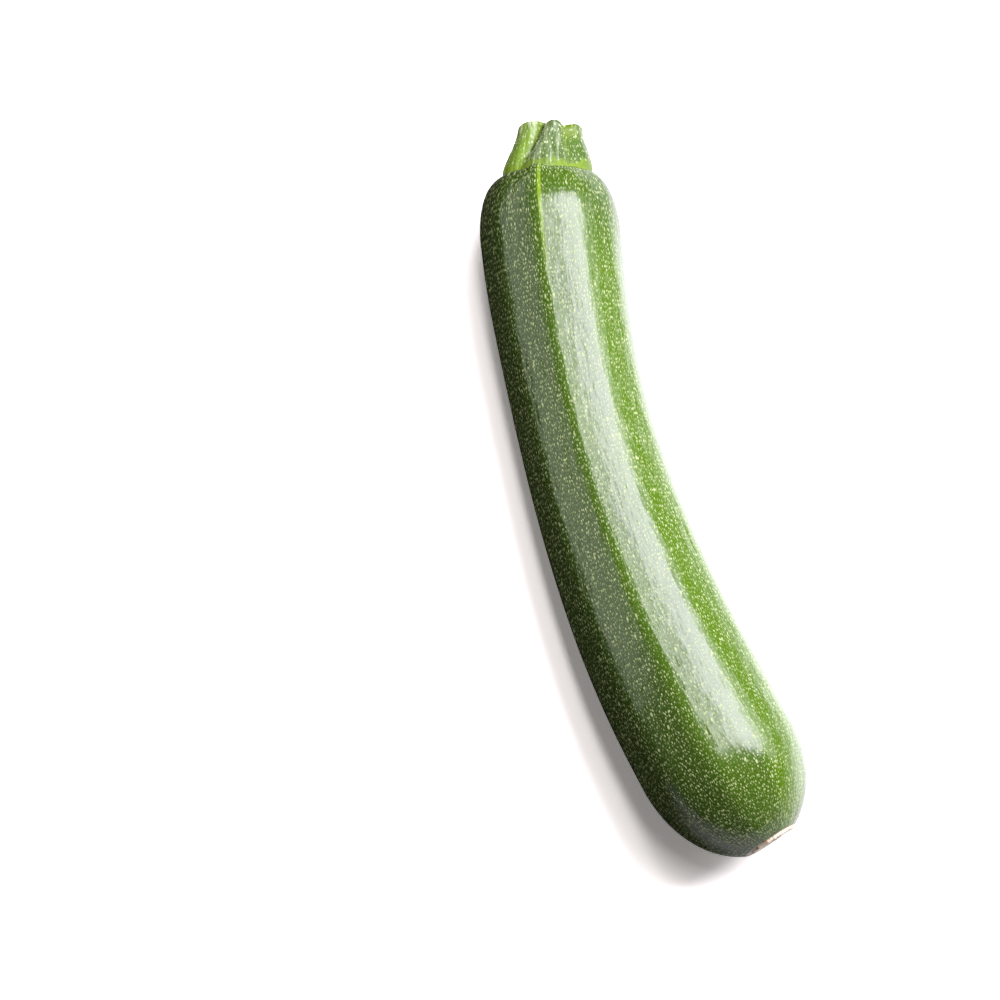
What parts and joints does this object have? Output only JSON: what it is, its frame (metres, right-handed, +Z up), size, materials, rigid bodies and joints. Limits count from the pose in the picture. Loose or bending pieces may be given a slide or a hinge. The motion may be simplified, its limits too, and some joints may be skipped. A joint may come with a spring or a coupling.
{
  "type": "courgette",
  "caption": "Dark green courgette lying on its side: gently bent, softly ridged fruit, fuller towards the blossom end, with a short lobed cut stem and a dried blossom scar.",
  "frame": {"origin": "on the surface it lies on, under the middle of the courgette's bounding box", "axes": "+Z up; +Y along the courgette from blossom end to stem; +X towards the hollow side of its bend"},
  "size_m": [0.0474, 0.2045, 0.0422],
  "materials": {
    "skin": "waxy dark green skin with fine pale yellow-green speckles, glossy on the facets",
    "stalk": "satin light green stalk with pale flecks and fine hairs, dry at the cut"
  },
  "bodies": {
    "root": {"fruit": "skin", "stem": "stalk"}
  },
  "joints": []
}
